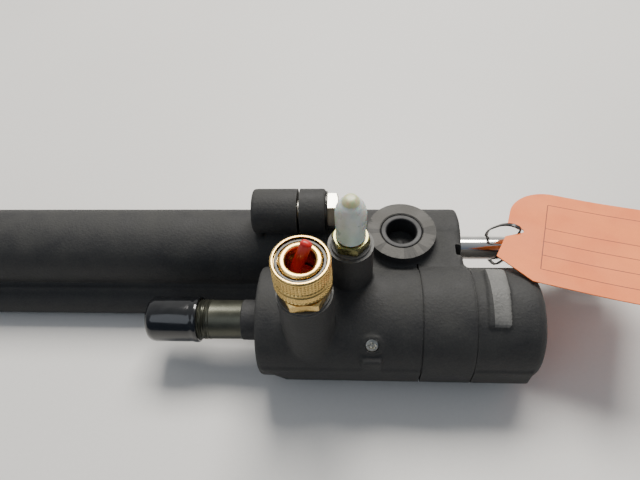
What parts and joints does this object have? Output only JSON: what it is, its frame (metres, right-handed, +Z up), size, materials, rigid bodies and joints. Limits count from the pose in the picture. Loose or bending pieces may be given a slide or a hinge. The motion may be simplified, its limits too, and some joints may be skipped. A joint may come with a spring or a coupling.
{
  "type": "hydraulic steering actuator",
  "caption": "Hydraulic steering actuator: black cast cylinder with a chrome rod beside a valve housing with a cable guide tube, brass coupler, capped ports and a tied orange tag.",
  "frame": {"origin": "centre of the resting footprint: box centre in x and y, resting face at z = 0", "axes": "+X along the cylinder from its closed end towards the clevis, +Y from the valve to the cylinder, +Z up"},
  "size_m": [0.449, 0.1233, 0.1235],
  "materials": {
    "cast_black": "satin black paint on a sand casting",
    "zinc_steel": "yellow-olive zinc plating",
    "chrome": "polished hard chrome",
    "dark_steel": "dark olive plating",
    "brass": "turned",
    "bronze": "machined",
    "rubber": "matt",
    "gasket_sheet": "matt",
    "aluminium": "machined",
    "black_vinyl": "glossy dipped vinyl",
    "red_plastic": "satin",
    "white_plastic": "translucent, satin",
    "orange_card": "coated tag stock",
    "black_nylon": "satin"
  },
  "bodies": {
    "housing": {"valve_housing": "cast_black", "cylinder_barrel": "cast_black", "flange_gasket": "gasket_sheet", "flange_bolt_top": "zinc_steel", "flange_bolt_rear": "zinc_steel", "flange_washer_top": "zinc_steel", "flange_washer_rear": "zinc_steel", "gallery_plug": "zinc_steel", "pivot_bushing_top": "rubber", "pivot_bushing_bottom": "rubber", "rod_gland": "aluminium", "rod_seal": "rubber", "rod_wiper": "rubber", "gland_retaining_ring": "dark_steel", "tube_seal": "rubber", "valve_sleeve": "zinc_steel", "centering_spring_left": "dark_steel", "centering_spring_right": "dark_steel", "housing_end_cap": "aluminium", "end_cap_seal": "rubber", "end_cap_retaining_ring": "dark_steel", "locating_screw": "zinc_steel", "coupler_body": "brass", "locking_ball_1": "zinc_steel", "locking_ball_2": "zinc_steel", "locking_ball_3": "zinc_steel", "locking_ball_4": "zinc_steel", "locking_ball_5": "zinc_steel", "locking_ball_6": "zinc_steel", "sleeve_stop_ring": "zinc_steel", "pressure_port_washer": "aluminium", "return_fitting": "zinc_steel", "return_port_washer": "aluminium"},
    "rod_carriage": {"piston_seal": "rubber", "piston_wear_ring": "bronze"},
    "rod": {"piston_rod": "chrome", "piston": "aluminium", "piston_nut": "zinc_steel", "clevis": "dark_steel", "clevis_lock_nut": "zinc_steel"},
    "tag": {"shipping_tag": "orange_card", "tag_tie": "black_nylon"},
    "guide_tube": {"guide_tube": "dark_steel", "valve_spool": "zinc_steel", "spool_collar_left": "zinc_steel", "spool_collar_right": "zinc_steel"},
    "tube_cap": {"tube_cap": "black_vinyl"},
    "coupler_sleeve": {"coupler_sleeve": "brass", "sleeve_spring": "zinc_steel"},
    "coupler_poppet": {"coupler_poppet": "brass", "poppet_spring": "zinc_steel"},
    "red_plug": {"red_plug": "red_plastic"},
    "white_cap": {"white_cap": "white_plastic"}
  },
  "joints": [
    {"name": "rod_slide", "type": "slide", "parent": "housing", "child": "rod_carriage", "axis": [1, 0, 0], "range_m": [0, 0.2]},
    {"name": "rod_turn", "type": "hinge", "parent": "rod_carriage", "child": "rod", "pos_m": [0.02754, 0.01917, 0.03], "axis": [1, 0, 0], "continuous": true},
    {"name": "tag_swing", "type": "hinge", "parent": "rod_carriage", "child": "tag", "pos_m": [0.14074, 0.01917, 0.03], "axis": [1, 0, 0], "range_deg": [-60, 0]},
    {"name": "valve_slide", "type": "slide", "parent": "housing", "child": "guide_tube", "axis": [1, 0, 0], "range_m": [-0.002, 0.002], "stiffness_N_per_m": 6000, "deforming": ["centering_spring_left", "centering_spring_right"]},
    {"name": "tube_cap_pull", "type": "slide", "parent": "guide_tube", "child": "tube_cap", "axis": [-1, 0, 0], "range_m": [0, 0.04]},
    {"name": "coupler_sleeve_slide", "type": "slide", "parent": "housing", "child": "coupler_sleeve", "axis": [0, 0, -1], "range_m": [0, 0.003], "stiffness_N_per_m": 1200, "springref_m": -0.002, "deforming": ["sleeve_spring"]},
    {"name": "coupler_poppet_slide", "type": "slide", "parent": "housing", "child": "coupler_poppet", "axis": [0, 0, -1], "range_m": [0, 0.003], "stiffness_N_per_m": 800, "springref_m": -0.001, "deforming": ["poppet_spring"]},
    {"name": "red_plug_pull", "type": "slide", "parent": "housing", "child": "red_plug", "axis": [0, 0, 1], "range_m": [0, 0.03]},
    {"name": "white_cap_pull", "type": "slide", "parent": "housing", "child": "white_cap", "axis": [0, 0, 1], "range_m": [0, 0.03]}
  ]
}
